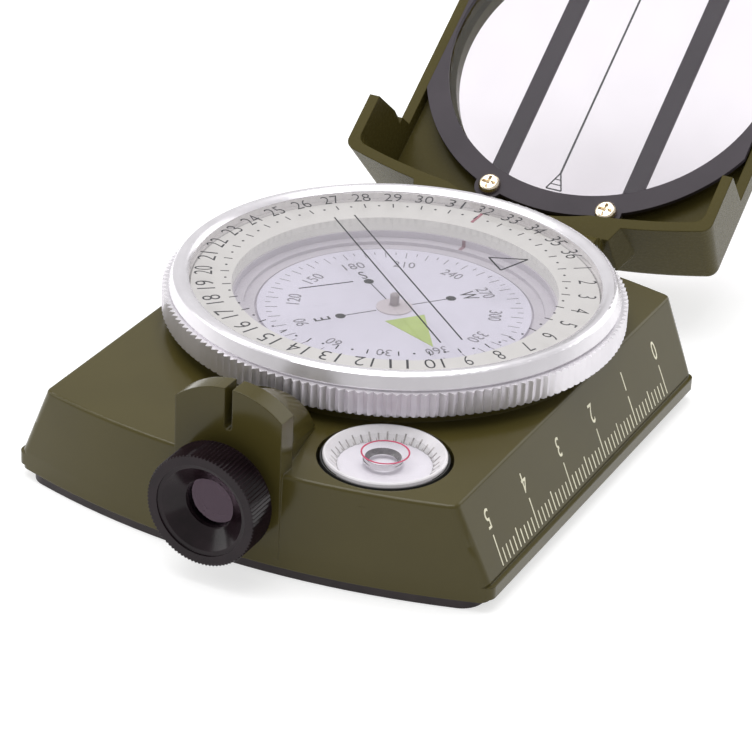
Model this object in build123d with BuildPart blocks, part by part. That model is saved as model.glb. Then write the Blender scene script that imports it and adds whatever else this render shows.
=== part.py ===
"""Sighting compass: a die-cast body with a focusing eyepiece, a turning bezel and a hinged sighting lid.

Millimetres. The origin is on the underside of the base plate, on the bezel's axis. +Z is up, and +Y is
the sighting direction, from the eyepiece at the front to the hinge at the back. The lid is modelled where
it rests when it is fully open, against the heel of the body's hinge lug.
"""

from build123d import *
from math import asin, cos, radians, sin, sqrt
import os

os.makedirs("parts", exist_ok=True)

# ---------------------------------------------------------------- driving dimensions
TOP_Z = 13.2  # height of the body's top face above the table
PLATE_T = 1.2  # base plate thickness
WALL = 2.0  # body wall and top plate

# body outline: straight sides, and a shallow arc at the front and at the back
EDGE_ARC_R = 95.0
TOP_HALF_W = 27.3
FOOT_HALF_W = 31.4
FOOT_Z = 3.6  # where the sloping sides end
FRONT_Y = -42.7
BACK_Y = 29.6
WALL_LEAN_Y = 0.4  # how far the front and back walls lean out at the foot
CORNER_R = 1.3
EDGE_R = 0.4
LIP_HALF_W = 32.0
LIP_Z = 1.6
LIP_H = 1.6

# bezel
BEZEL_R = 29.3
BEZEL_ROOT_R = 28.62
BEZEL_TEETH = 160
BEZEL_EDGE = 0.3  # broken edge at the bottom of the knurl
BEZEL_BOTTOM_Z = TOP_Z + 1.68
KNURL_TOP_Z = TOP_Z + 4.75
CREST_R = 27.35
CREST_Z = TOP_Z + 6.88
SHOULDER_R = 27.97  # where the rim's outer slope rounds over towards the crest
SHOULDER_Z = CREST_Z - 0.35
LIP_R = 25.95  # inner edge of the rim, around the crystal
GUIDE_R = 27.0  # spigot on the body that the bezel turns on
RUN_GAP = 0.06  # radial running clearance

# dial
CUP_R = 25.2  # flange of the dial cup, in the body's spigot
CUP_WALL = 1.2
CUP_FLOOR_Z = TOP_Z - 2.8
CUP_WELL_R = 16.6  # under the card
CUP_REST_R = 17.65  # around the card's edge, which hangs just above a ledge
CUP_REST_Z = TOP_Z + 1.2
CUP_SEAT_Z = TOP_Z + 0.4  # underside of the flange
CUP_STEP_R = 19.0  # two steps lead up from the card to the fixed ring
CUP_STEP_Z = TOP_Z + 1.85
CUP_LEDGE_R = 20.3
CUP_LEDGE_Z = TOP_Z + 2.3
DIAL_RING_INNER_R = 20.6
DIAL_RING_R = 25.7
DIAL_RING_Z = TOP_Z + 3.2
DIAL_RING_T = 1.8
CARD_R = 17.35
CARD_Z = TOP_Z + 1.54
CARD_T = 0.4
PRINT_T = 0.05  # thickness of printed marks
CRYSTAL_Z = TOP_Z + 5.15
CRYSTAL_T = 1.15
CRYSTAL_R = 26.35
CRYSTAL_SEAT_R = 26.8
GASKET_T = 0.25
NORTH_DEG = -39.2  # where the card's north mark points, anticlockwise from +X

# sight housing and eyepiece
SIGHT_FRONT_Y = -42.9
SIGHT_T = 2.8
SIGHT_HALF_W = 7.0
SIGHT_APEX_Z = TOP_Z + 9.5
SIGHT_ARCH_R = 10.4
SLOT_W = 1.0
SLOT_Z = TOP_Z + 4.2
SLOT_H = 10.0  # cut up through the arch
SLOT_REACH = 14.0  # cut back through the plate and the hood
EYE_Z = TOP_Z - 3.5
EYE_FACE_Y = -49.1
EYE_R = 7.05
EYE_TEETH = 92
EYE_TOOTH_H = 0.24

# bubble level
LEVEL_X = 15.1
LEVEL_Y = -32.3
LEVEL_R = 7.45
LEVEL_HOLE_R = 8.05
LEVEL_RIM_Z = TOP_Z + 0.6
LEVEL_H = 4.6
LEVEL_SKIN = 0.5
LEVEL_DISH_T = 3.0

# hinge and lid. In the lid's own axes x is the object's X, y runs from the hinge to the lid's far edge,
# and z points out of the hollow side.
HINGE_Y = 32.9
HINGE_Z = TOP_Z
BARREL_R = 1.8
PIN_R = 0.8
BASE_LUG_HALF_W = 8.2
LID_LUG_IN = 8.5
LID_LUG_OUT = 13.6
OPEN_DEG = 35.2  # the open lid's rise above the horizontal
LID_RIM_Z = -0.2
LID_FACE_Z = -15.1
LID_FLOOR_Z = -11.6
LID_RIM_HALF_W = 27.2
LID_NEAR_Y = 3.12
LID_FAR_Y = HINGE_Y - FRONT_Y - 0.1
LID_DRAFT = 0.12  # how far the walls lean in for each millimetre away from the rim
LID_WALL = 1.5
WINDOW_Y = 36.6
WINDOW_R = 24.35
WINDOW_SEE_R = 23.9
WINDOW_Z = -10.14  # inner face of the window
WINDOW_T = 2.8
RING_R = 27.1
RING_T = 0.65
RING_FLAT = 24.3
SCREW_X = 8.84
SCREW_PCD_Y = 25.2
BULGE_Y = 2.1  # the near wall bulges to here, to pass behind the bezel when the lid is closed
BULGE_HALF_W = 14.5
BEZEL_RELIEF_R = 29.65


def edge_sagitta(half_width):
    """How far the shallow end arcs fall back at the given half width."""
    return EDGE_ARC_R - sqrt(EDGE_ARC_R**2 - half_width**2)


def outline_wire(half_width, front_y, back_y):
    """Body outline with arced front and back edges, drawn in the open BuildLine."""
    drop = edge_sagitta(half_width)
    front_left = (-half_width, front_y + drop)
    front_right = (half_width, front_y + drop)
    back_left = (-half_width, back_y - drop)
    back_right = (half_width, back_y - drop)
    ThreePointArc(front_left, (0, front_y), front_right)
    Line(front_right, back_right)
    ThreePointArc(back_right, (0, back_y), back_left)
    Line(back_left, front_left)


def outline_sketch(plane, half_width, front_y, back_y, corner_r):
    """A filled body outline with rounded corners, on the given plane."""
    with BuildSketch(plane) as sketch:
        with BuildLine():
            outline_wire(half_width, front_y, back_y)
        make_face()
        fillet(sketch.vertices(), corner_r)
    return sketch.sketch


def knurl_points(tip_r, root_r, teeth, centre_y=0.0):
    """Corners of a ring of pointed teeth."""
    points = []
    for index in range(2 * teeth):
        radius = tip_r if index % 2 == 0 else root_r
        angle = radians(180.0 * index / teeth)
        points.append((radius * cos(angle), centre_y + radius * sin(angle)))
    return points


def save(part, label):
    """Label a finished part and write its STEP file."""
    part.label = label
    export_step(part, f"parts/{label}.step")


LID_NORMAL = (0, -sin(radians(OPEN_DEG)), cos(radians(OPEN_DEG)))


def lid_plane(height):
    """Plane parallel to the lid's rim, at a height in the lid's own axes."""
    return Plane(origin=(0, HINGE_Y, HINGE_Z), x_dir=(1, 0, 0), z_dir=LID_NORMAL).offset(height)


def lid_section(x=0.0):
    """Plane across the hinge, with the lid's y and z as its own axes, at the given distance along X."""
    lid_away = (0, cos(radians(OPEN_DEG)), sin(radians(OPEN_DEG)))
    return Plane(origin=(x, HINGE_Y, HINGE_Z), x_dir=lid_away, z_dir=(1, 0, 0))


EYE_BORE_R = 4.6
# distance along Y, half width, and heights of the apex and of the sides above the top face
HOOD_ARCHES = [
    (SIGHT_FRONT_Y + SIGHT_T - 0.2, 6.6, 8.1, 2.6),
    (-36.4, 5.9, 6.9, 1.6),
    (-30.4, 4.8, 3.8, 0.4),
]
POST_R = 2.6
POST_X = 26.0
POST_FRONT_Y = -34.0
POST_BACK_Y = 18.0
POST_MID_Y = (POST_FRONT_Y + POST_BACK_Y) / 2
POST_SPAN_Y = POST_BACK_Y - POST_FRONT_Y
PILOT_R = 0.85
PILOT_DEPTH = 6.0
GUIDE_TOP_Z = TOP_Z + 3.1
SNAP_Z = TOP_Z + 2.2
SNAP_H = 0.6
SNAP_DEPTH = 0.4
LEVEL_FLOOR_Z = LEVEL_RIM_Z - LEVEL_H
LEVEL_WELL_WALL = 1.1
LEVEL_WELL_FLOOR_T = 1.2
CHAMBER_HALF_W = 3.7
CHAMBER_FRONT_Y = -40.0
CHAMBER_BACK_Y = -32.6
CHAMBER_TOP_Z = TOP_Z + 2.2
CHAMBER_WALL = 1.2
LUG_WEB_TOP_Z = HINGE_Z - 0.2
HEEL_GAP = 0.12  # left between the open lid and its stop
HEEL_DEPTH = 3.2


def front_plane(y):
    """Vertical plane facing the user, at the given distance along Y."""
    return Plane.XZ.offset(-y)


def arch_sketch(y, half_width, apex_z, side_z, foot_z):
    """An arch-topped section across the body, at the given distance along Y."""
    with BuildSketch(front_plane(y)) as sketch:
        with BuildLine():
            ThreePointArc((-half_width, side_z), (0, apex_z), (half_width, side_z))
            Polyline((half_width, side_z), (half_width, foot_z), (-half_width, foot_z), (-half_width, side_z))
        make_face()
    return sketch.sketch


def disc(z, radius, height, label, hole_r=0.0, centre=(0, 0)):
    """A flat disc or ring, lying level."""
    with BuildPart() as piece:
        with BuildSketch(Plane.XY.offset(z)):
            with Locations(centre):
                Circle(radius)
                if hole_r > 0:
                    Circle(hole_r, mode=Mode.SUBTRACT)
        extrude(amount=height)
    save(piece.part, label)


# ---------------------------------------------------------------- base housing
with BuildPart() as base_housing:
    top_face = outline_sketch(Plane.XY.offset(TOP_Z), TOP_HALF_W, FRONT_Y, BACK_Y, CORNER_R)
    foot_face = outline_sketch(
        Plane.XY.offset(FOOT_Z), FOOT_HALF_W, FRONT_Y - WALL_LEAN_Y, BACK_Y + WALL_LEAN_Y, CORNER_R
    )
    loft([foot_face, top_face], ruled=True)
    fillet(base_housing.faces().sort_by(Axis.Z)[-1].edges(), EDGE_R)
    skirt = outline_sketch(
        Plane.XY.offset(PLATE_T), FOOT_HALF_W, FRONT_Y - WALL_LEAN_Y, BACK_Y + WALL_LEAN_Y, CORNER_R
    )
    extrude(skirt, amount=FOOT_Z - PLATE_T)
    lip = outline_sketch(
        Plane.XY.offset(LIP_Z), LIP_HALF_W, FRONT_Y - WALL_LEAN_Y, BACK_Y + WALL_LEAN_Y, CORNER_R
    )
    extrude(lip, amount=LIP_H)
    # the sight plate with its arched top, and the hood that falls away behind it towards the bezel
    arch_side_z = SIGHT_APEX_Z - SIGHT_ARCH_R + sqrt(SIGHT_ARCH_R**2 - SIGHT_HALF_W**2)
    sight_face = arch_sketch(SIGHT_FRONT_Y, SIGHT_HALF_W, SIGHT_APEX_Z, arch_side_z, PLATE_T + 1.0)
    extrude(sight_face, amount=-SIGHT_T)
    hood_arches = []
    for hood_y, half_width, apex_h, side_h in HOOD_ARCHES:
        arch = arch_sketch(hood_y, half_width, TOP_Z + apex_h, TOP_Z + side_h, TOP_Z - 1.0)
        hood_arches.append(arch)
    loft(hood_arches)
    # hollow underside
    ceiling = outline_sketch(
        Plane.XY.offset(TOP_Z - WALL), TOP_HALF_W - 1.3, FRONT_Y + WALL, BACK_Y - WALL, CORNER_R
    )
    mouth = outline_sketch(
        Plane.XY.offset(PLATE_T), FOOT_HALF_W - WALL, FRONT_Y + WALL, BACK_Y - WALL, CORNER_R
    )
    loft([mouth, ceiling], ruled=True, mode=Mode.SUBTRACT)
    # guide spigot for the bezel, bored for the dial cup, whose flange sits on a shoulder inside it
    with BuildSketch(Plane.XY.offset(TOP_Z - WALL)):
        Circle(GUIDE_R)
    extrude(amount=GUIDE_TOP_Z - TOP_Z + WALL)
    with BuildSketch(Plane.XY.offset(CUP_SEAT_Z)):
        Circle(CUP_R)
    extrude(amount=GUIDE_TOP_Z - CUP_SEAT_Z, mode=Mode.SUBTRACT)
    with BuildSketch(Plane.XY.offset(TOP_Z - WALL)):
        Circle(CUP_WELL_R + CUP_WALL)
    extrude(amount=CUP_SEAT_Z - TOP_Z + WALL, mode=Mode.SUBTRACT)
    with BuildSketch(Plane.XY.offset(SNAP_Z)):
        Circle(GUIDE_R + 1.0)
        Circle(GUIDE_R - SNAP_DEPTH - 0.1, mode=Mode.SUBTRACT)
    extrude(amount=SNAP_H + 0.2, mode=Mode.SUBTRACT)
    # chamber for the prism, the bore for the eyepiece sleeve and the sighting slot
    with BuildSketch(Plane.XY.offset(PLATE_T)):
        with Locations((0, (CHAMBER_FRONT_Y + CHAMBER_BACK_Y) / 2)):
            Rectangle(
                2 * (CHAMBER_HALF_W + CHAMBER_WALL), CHAMBER_BACK_Y - CHAMBER_FRONT_Y + 2 * CHAMBER_WALL + 0.6
            )
    extrude(amount=TOP_Z - PLATE_T - 1.0)
    with BuildSketch(Plane.XY.offset(PLATE_T)):
        with Locations((0, (CHAMBER_FRONT_Y + CHAMBER_BACK_Y) / 2)):
            Rectangle(2 * CHAMBER_HALF_W, CHAMBER_BACK_Y - CHAMBER_FRONT_Y)
    extrude(amount=CHAMBER_TOP_Z - PLATE_T, mode=Mode.SUBTRACT)
    with BuildSketch(front_plane(FRONT_Y - 1.0)):
        with Locations((0, EYE_Z)):
            Circle(EYE_BORE_R)
    extrude(amount=-(CHAMBER_FRONT_Y - FRONT_Y + 1.4), mode=Mode.SUBTRACT)
    with BuildSketch(front_plane(FRONT_Y - 1.0)):
        with Locations((0, SLOT_Z + SLOT_W / 2)):
            Circle(SLOT_W / 2)
        with Locations((0, SLOT_Z + SLOT_W / 2 + SLOT_H / 2)):
            Rectangle(SLOT_W, SLOT_H)
    extrude(amount=-SLOT_REACH, mode=Mode.SUBTRACT)
    # well for the bubble level
    with BuildSketch(Plane.XY.offset(LEVEL_FLOOR_Z - LEVEL_WELL_FLOOR_T)):
        with Locations((LEVEL_X, LEVEL_Y)):
            Circle(LEVEL_HOLE_R + LEVEL_WELL_WALL)
    extrude(amount=TOP_Z - WALL - LEVEL_FLOOR_Z + LEVEL_WELL_FLOOR_T + 0.2)
    with BuildSketch(Plane.XY.offset(LEVEL_FLOOR_Z)):
        with Locations((LEVEL_X, LEVEL_Y)):
            Circle(LEVEL_HOLE_R)
    extrude(amount=2 * LEVEL_H, mode=Mode.SUBTRACT)
    # corner posts for the base plate's screws
    with BuildSketch(Plane.XY.offset(PLATE_T)):
        with Locations((0, POST_MID_Y)):
            with GridLocations(2 * POST_X, POST_SPAN_Y, 2, 2):
                Circle(POST_R)
    extrude(amount=PILOT_DEPTH + 1.0)
    with BuildSketch(Plane.XY.offset(PLATE_T)):
        with Locations((0, POST_MID_Y)):
            with GridLocations(2 * POST_X, POST_SPAN_Y, 2, 2):
                Circle(PILOT_R)
    extrude(amount=PILOT_DEPTH, mode=Mode.SUBTRACT)
    # hinge lug on the back wall
    with BuildSketch(Plane.YZ):
        with Locations((HINGE_Y, HINGE_Z)):
            Circle(BARREL_R)
        lug_root_y = BACK_Y - edge_sagitta(BASE_LUG_HALF_W) - WALL / 2
        with BuildLine():
            Polyline(
                (lug_root_y, LUG_WEB_TOP_Z - EDGE_R),
                (HINGE_Y, LUG_WEB_TOP_Z),
                (HINGE_Y, HINGE_Z - BARREL_R),
                (lug_root_y, HINGE_Z - BARREL_R - 2.4),
                close=True,
            )
        make_face()
    extrude(amount=BASE_LUG_HALF_W, both=True)
    # heel that the open lid's near wall comes to rest against
    with BuildSketch(lid_section()):
        with BuildLine():
            Polyline(
                (0, 0),
                (BULGE_Y - HEEL_GAP, -0.6),
                (BULGE_Y - HEEL_GAP, -HEEL_DEPTH),
                (-1.6, -HEEL_DEPTH - 0.4),
                close=True,
            )
        make_face()
    extrude(amount=BASE_LUG_HALF_W, both=True)
    with BuildSketch(Plane.YZ):
        with Locations((HINGE_Y, HINGE_Z)):
            Circle(PIN_R)
    extrude(amount=BASE_LUG_HALF_W + 1.0, both=True, mode=Mode.SUBTRACT)
save(base_housing.part, "base_housing")

# ---------------------------------------------------------------- base plate and its screws
PLATE_INSET = 1.2
SCREW_HEAD_R = 1.7
SCREW_SHANK_R = 0.85
SCREW_HEAD_H = 0.8
SCREW_SINK = 0.1  # how far the heads lie below the plate's face
CROSS_L = 2.0  # cross recess
CROSS_W = 0.45
CROSS_DEPTH = 0.4

with BuildPart() as base_plate:
    plate_face = outline_sketch(
        Plane.XY, FOOT_HALF_W - PLATE_INSET, FRONT_Y - 0.1, BACK_Y + 0.1, 3.0
    )
    extrude(plate_face, amount=PLATE_T)
    with Locations(Plane.XY.rotated((180, 0, 0))):
        with Locations((0, -POST_MID_Y)):
            with GridLocations(2 * POST_X, POST_SPAN_Y, 2, 2):
                CounterSinkHole(radius=1.0, counter_sink_radius=SCREW_HEAD_R + 0.1, depth=PLATE_T)
save(base_plate.part, "base_plate")

with BuildPart() as base_plate_screws:
    with BuildSketch(Plane.XZ) as screw_profile:
        with BuildLine():
            Polyline(
                (0, SCREW_SINK),
                (SCREW_HEAD_R - 0.1, SCREW_SINK),
                (SCREW_SHANK_R, SCREW_SINK + SCREW_HEAD_H),
                (SCREW_SHANK_R, PILOT_DEPTH),
                (0, PILOT_DEPTH),
                close=True,
            )
        make_face()
    revolve(axis=Axis.Z)
    with BuildSketch(Plane.XY.offset(SCREW_SINK)):
        Rectangle(CROSS_L, CROSS_W)
        Rectangle(CROSS_W, CROSS_L)
    extrude(amount=CROSS_DEPTH, mode=Mode.SUBTRACT)
one_screw = base_plate_screws.part
screw_places = GridLocations(2 * POST_X, POST_SPAN_Y, 2, 2)
screw_set = Compound([Pos(0, POST_MID_Y, 0) * place * one_screw for place in screw_places])
save(screw_set, "base_plate_screws")

# ---------------------------------------------------------------- dial cup, fixed ring and index
PIVOT_BOSS_R = 2.6
PIVOT_BOSS_H = 0.9
PIVOT_FOOT_R = 0.8
PIVOT_R = 0.25
PIVOT_TOP_Z = CARD_Z + CARD_T + 1.15  # where the pivot's point starts
PIVOT_POINT_H = 0.3

with BuildPart() as dial_cup:
    with BuildSketch(Plane.XZ):
        with BuildLine():
            Polyline(
                (0, CUP_FLOOR_Z - CUP_WALL),
                (CUP_WELL_R + CUP_WALL, CUP_FLOOR_Z - CUP_WALL),
                (CUP_WELL_R + CUP_WALL, CUP_SEAT_Z),
                (CUP_R, CUP_SEAT_Z),
                (CUP_R, DIAL_RING_Z),
                (CUP_LEDGE_R, DIAL_RING_Z),
                (CUP_LEDGE_R, CUP_LEDGE_Z),
                (CUP_STEP_R, CUP_LEDGE_Z),
                (CUP_STEP_R, CUP_STEP_Z),
                (CUP_REST_R, CUP_STEP_Z),
                (CUP_REST_R, CUP_REST_Z),
                (CUP_WELL_R, CUP_REST_Z),
                (CUP_WELL_R, CUP_FLOOR_Z),
                (0, CUP_FLOOR_Z),
                close=True,
            )
        make_face()
    revolve(axis=Axis.Z)
    with BuildSketch(Plane.XY.offset(CUP_FLOOR_Z)):
        Circle(PIVOT_BOSS_R)
    extrude(amount=PIVOT_BOSS_H)
    with BuildSketch(Plane.XY.offset(CUP_FLOOR_Z)):
        Circle(PIVOT_FOOT_R)
    extrude(amount=PIVOT_BOSS_H, mode=Mode.SUBTRACT)
save(dial_cup.part, "dial_cup")

disc(DIAL_RING_Z, DIAL_RING_R, DIAL_RING_T, "fixed_ring", hole_r=DIAL_RING_INNER_R)

INDEX_W = 0.4
INDEX_L = 3.2
INDEX_MID_R = 24.0
with BuildPart() as index_mark:
    with BuildSketch(Plane.XY.offset(DIAL_RING_Z + DIAL_RING_T)):
        with Locations((0, INDEX_MID_R)):
            Rectangle(INDEX_W, INDEX_L)
    extrude(amount=PRINT_T)
save(index_mark.part, "index_mark")

CAPSULE_LENS_Z = DIAL_RING_Z + 0.95
CAPSULE_LENS_T = 0.8
disc(CAPSULE_LENS_Z, DIAL_RING_INNER_R, CAPSULE_LENS_T, "capsule_lens")

with BuildPart() as pivot_post:
    with BuildSketch(Plane.XZ):
        with BuildLine():
            Polyline(
                (0, CUP_FLOOR_Z),
                (PIVOT_FOOT_R, CUP_FLOOR_Z),
                (PIVOT_FOOT_R, CARD_Z - 1.6),
                (PIVOT_R, CARD_Z - 1.1),
                (PIVOT_R, PIVOT_TOP_Z),
                (0, PIVOT_TOP_Z + PIVOT_POINT_H),
                close=True,
            )
        make_face()
    revolve(axis=Axis.Z)
save(pivot_post.part, "pivot_post")

# ---------------------------------------------------------------- compass card
HUB_R = 2.3
HUB_BOSS_R = 1.1  # through the card
HUB_EDGE_H = 0.15
HUB_SHOULDER_R = 0.8
HUB_SHOULDER_H = 0.4
HUB_COLUMN_R = 0.6  # a slim column over the pivot's point
HUB_TOP_Z = CARD_Z + CARD_T + 1.9
HUB_BOTTOM_Z = CARD_Z - 0.7
PIVOT_GAP = 0.08
disc(CARD_Z, CARD_R, CARD_T, "compass_card", hole_r=HUB_BOSS_R)

with BuildPart() as card_hub:
    with BuildSketch(Plane.XZ):
        with BuildLine():
            Polyline(
                (PIVOT_R + PIVOT_GAP, HUB_BOTTOM_Z),
                (HUB_BOSS_R, HUB_BOTTOM_Z),
                (HUB_BOSS_R, CARD_Z + CARD_T),
                (HUB_R, CARD_Z + CARD_T),
                (HUB_R, CARD_Z + CARD_T + HUB_EDGE_H),
                (HUB_SHOULDER_R, CARD_Z + CARD_T + HUB_SHOULDER_H),
                (HUB_COLUMN_R, CARD_Z + CARD_T + HUB_SHOULDER_H + 0.1),
                (HUB_COLUMN_R, HUB_TOP_Z - 0.15),
                (HUB_COLUMN_R - 0.15, HUB_TOP_Z),
                (0, HUB_TOP_Z),
                (0, PIVOT_TOP_Z + PIVOT_POINT_H + 0.05),
                (PIVOT_R + PIVOT_GAP, PIVOT_TOP_Z + PIVOT_GAP / 2),
                close=True,
            )
        make_face()
    revolve(axis=Axis.Z)
save(card_hub.part, "card_hub")

# the magnets and the north mark are drawn along +X and then turned to the card's north
MAGNET_L = 20.0
MAGNET_W = 3.2
MAGNET_T = 1.0
MAGNET_OFFSET = 4.1
north_rotation = Rot(0, 0, NORTH_DEG)
with BuildPart() as magnet_pair:
    with BuildSketch(Plane.XY.offset(CARD_Z - MAGNET_T)):
        with Locations((0, MAGNET_OFFSET), (0, -MAGNET_OFFSET)):
            Rectangle(MAGNET_L, MAGNET_W)
    extrude(amount=MAGNET_T)
save(north_rotation * magnet_pair.part, "card_magnets")

MARKER_ROOT = 3.2
MARKER_TIP = 11.7
MARKER_HALF_W = 2.7
with BuildPart() as north_marker:
    with BuildSketch(Plane.XY.offset(CARD_Z + CARD_T)):
        with BuildLine():
            Polyline(
                (MARKER_ROOT, -MARKER_HALF_W), (MARKER_TIP, 0), (MARKER_ROOT, MARKER_HALF_W), close=True
            )
        make_face()
    extrude(amount=PRINT_T)
save(north_rotation * north_marker.part, "north_marker")

# ---------------------------------------------------------------- bezel
BORE_R = GUIDE_R + RUN_GAP
with BuildPart() as bezel_ring:
    with BuildSketch(Plane.XY.offset(BEZEL_BOTTOM_Z)):
        with BuildLine():
            Polyline(*knurl_points(BEZEL_R, BEZEL_ROOT_R, BEZEL_TEETH), close=True)
        make_face()
    extrude(amount=KNURL_TOP_Z - BEZEL_BOTTOM_Z)
    # broken edge underneath
    with BuildSketch(Plane.XZ):
        with BuildLine():
            Polyline(
                (0, BEZEL_BOTTOM_Z),
                (BEZEL_R - BEZEL_EDGE, BEZEL_BOTTOM_Z),
                (BEZEL_R + 0.1, BEZEL_BOTTOM_Z + BEZEL_EDGE + 0.1),
                (BEZEL_R + 0.1, KNURL_TOP_Z),
                (0, KNURL_TOP_Z),
                close=True,
            )
        make_face()
    revolve(axis=Axis.Z, mode=Mode.INTERSECT)
    # polished rim: a shallow groove above the knurl, a slope, then a rounded crest
    with BuildSketch(Plane.XZ):
        with BuildLine():
            Polyline(
                (LIP_R + 0.3, KNURL_TOP_Z),
                (BEZEL_ROOT_R - 0.35, KNURL_TOP_Z),
                (BEZEL_ROOT_R - 0.15, KNURL_TOP_Z + 0.35),
                (SHOULDER_R, SHOULDER_Z),
            )
            ThreePointArc((SHOULDER_R, SHOULDER_Z), (SHOULDER_R - 0.28, CREST_Z - 0.12), (CREST_R, CREST_Z))
            ThreePointArc(
                (CREST_R, CREST_Z), (CREST_R - 0.9, CREST_Z - 0.15), (LIP_R, CREST_Z - 0.5)
            )
            Polyline(
                (LIP_R, CREST_Z - 0.5),
                (LIP_R, CRYSTAL_Z + CRYSTAL_T),
                (LIP_R + 0.3, CRYSTAL_Z + CRYSTAL_T),
                (LIP_R + 0.3, KNURL_TOP_Z),
            )
        make_face()
    revolve(axis=Axis.Z)
    # bore, the crystal's seat and the snap ring's groove
    with BuildSketch(Plane.XZ):
        with BuildLine():
            Polyline(
                (0, BEZEL_BOTTOM_Z),
                (BORE_R, BEZEL_BOTTOM_Z),
                (BORE_R, SNAP_Z + 0.1),
                (BORE_R + SNAP_DEPTH, SNAP_Z + 0.1),
                (BORE_R + SNAP_DEPTH, SNAP_Z + 0.1 + SNAP_H),
                (BORE_R, SNAP_Z + 0.1 + SNAP_H),
                (BORE_R, CRYSTAL_Z - GASKET_T),
                (CRYSTAL_SEAT_R, CRYSTAL_Z - GASKET_T),
                (CRYSTAL_SEAT_R, CRYSTAL_Z + CRYSTAL_T),
                (0, CRYSTAL_Z + CRYSTAL_T),
                close=True,
            )
        make_face()
    revolve(axis=Axis.Z, mode=Mode.SUBTRACT)
save(bezel_ring.part, "bezel_ring")

disc(CRYSTAL_Z, CRYSTAL_R, CRYSTAL_T, "crystal")
RETAINER_Z = GUIDE_TOP_Z + 0.2
disc(RETAINER_Z, BORE_R, CRYSTAL_Z - GASKET_T - RETAINER_Z, "crystal_retainer", hole_r=LIP_R)

# the gasket wraps the crystal's edge
with BuildPart() as crystal_gasket:
    with BuildSketch(Plane.XZ):
        with BuildLine():
            Polyline(
                (LIP_R, CRYSTAL_Z - GASKET_T),
                (CRYSTAL_SEAT_R, CRYSTAL_Z - GASKET_T),
                (CRYSTAL_SEAT_R, CRYSTAL_Z + CRYSTAL_T),
                (CRYSTAL_R, CRYSTAL_Z + CRYSTAL_T),
                (CRYSTAL_R, CRYSTAL_Z),
                (LIP_R, CRYSTAL_Z),
                close=True,
            )
        make_face()
    revolve(axis=Axis.Z)
save(crystal_gasket.part, "crystal_gasket")

with BuildPart() as bezel_snap_ring:
    with BuildSketch(Plane.XY.offset(SNAP_Z + 0.1)):
        Circle(BORE_R + SNAP_DEPTH)
        Circle(GUIDE_R - SNAP_DEPTH, mode=Mode.SUBTRACT)
        with Locations((0, -GUIDE_R)):
            Rectangle(6.0, 4.0, mode=Mode.SUBTRACT)
    extrude(amount=SNAP_H)
save(bezel_snap_ring.part, "bezel_snap_ring")

# ---------------------------------------------------------------- bubble level
VIAL_R = LEVEL_R - 1.85
VIAL_CHAMFER = 0.2
with BuildPart() as level_vial:
    with BuildSketch(Plane.XY.offset(LEVEL_FLOOR_Z)):
        with Locations((LEVEL_X, LEVEL_Y)):
            Circle(LEVEL_R)
    extrude(amount=LEVEL_H)
    chamfer(level_vial.faces().sort_by(Axis.Z)[-1].edges(), VIAL_CHAMFER)
    with BuildSketch(Plane.XY.offset(LEVEL_FLOOR_Z)):
        with Locations((LEVEL_X, LEVEL_Y)):
            Circle(VIAL_R)
    extrude(amount=LEVEL_H - LEVEL_SKIN, mode=Mode.SUBTRACT)
save(level_vial.part, "level_vial")
LEVEL_CENTRE = (LEVEL_X, LEVEL_Y)
TARGET_R = 2.9
TARGET_W = 0.2
disc(LEVEL_FLOOR_Z, VIAL_R, LEVEL_DISH_T, "level_dish", centre=LEVEL_CENTRE)
LEVEL_FLUID_H = LEVEL_H - LEVEL_SKIN - LEVEL_DISH_T
disc(LEVEL_FLOOR_Z + LEVEL_DISH_T, VIAL_R, LEVEL_FLUID_H, "level_fluid", centre=LEVEL_CENTRE)
disc(LEVEL_RIM_Z, TARGET_R, PRINT_T, "level_target", hole_r=TARGET_R - TARGET_W, centre=LEVEL_CENTRE)

# rubber cup around the vial, with a foot that fills the well and a thin sleeve up to the top face
SEAT_FOOT_H = 1.0
SEAT_SLEEVE_T = 0.15
with BuildPart() as level_seat:
    with BuildSketch(Plane.XY.offset(LEVEL_FLOOR_Z)):
        with Locations(LEVEL_CENTRE):
            Circle(LEVEL_HOLE_R)
            Circle(LEVEL_R, mode=Mode.SUBTRACT)
    extrude(amount=SEAT_FOOT_H)
    with BuildSketch(Plane.XY.offset(LEVEL_FLOOR_Z)):
        with Locations(LEVEL_CENTRE):
            Circle(LEVEL_R + SEAT_SLEEVE_T)
            Circle(LEVEL_R, mode=Mode.SUBTRACT)
    extrude(amount=TOP_Z - LEVEL_FLOOR_Z)
save(level_seat.part, "level_seat")

# ---------------------------------------------------------------- eyepiece
SLEEVE_FRONT_Y = -45.7
SLEEVE_BACK_Y = -40.4
CELL_R = 3.7
CELL_FIT = 0.05
CELL_BORE_R = 2.6
LENS_T = 1.5
RETAINER_T = 0.4
FLANGE_T = 0.6
FLANGE_W = 0.9
FLANGE_BACK_Y = FRONT_Y - WALL_LEAN_Y - 0.1
CELL_FRONT_Y = -46.6
CELL_BACK_Y = -41.0
EYE_RING_BACK_Y = -44.6
EYE_LENS_R = 3.4
EYE_VIEW_R = 3.12
EYE_RECESS_R = 5.77
EYE_FRONT_R = EYE_R - 0.08


def eye_turned(points, label):
    """Revolve a profile of (radius, y) corners about the eyepiece's axis."""
    with BuildPart() as piece:
        with BuildSketch(Plane.YZ):
            with BuildLine():
                Polyline(*[(y, EYE_Z + radius) for radius, y in points], close=True)
            make_face()
        revolve(axis=Axis((0, 0, EYE_Z), (0, 1, 0)))
    save(piece.part, label)


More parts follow.
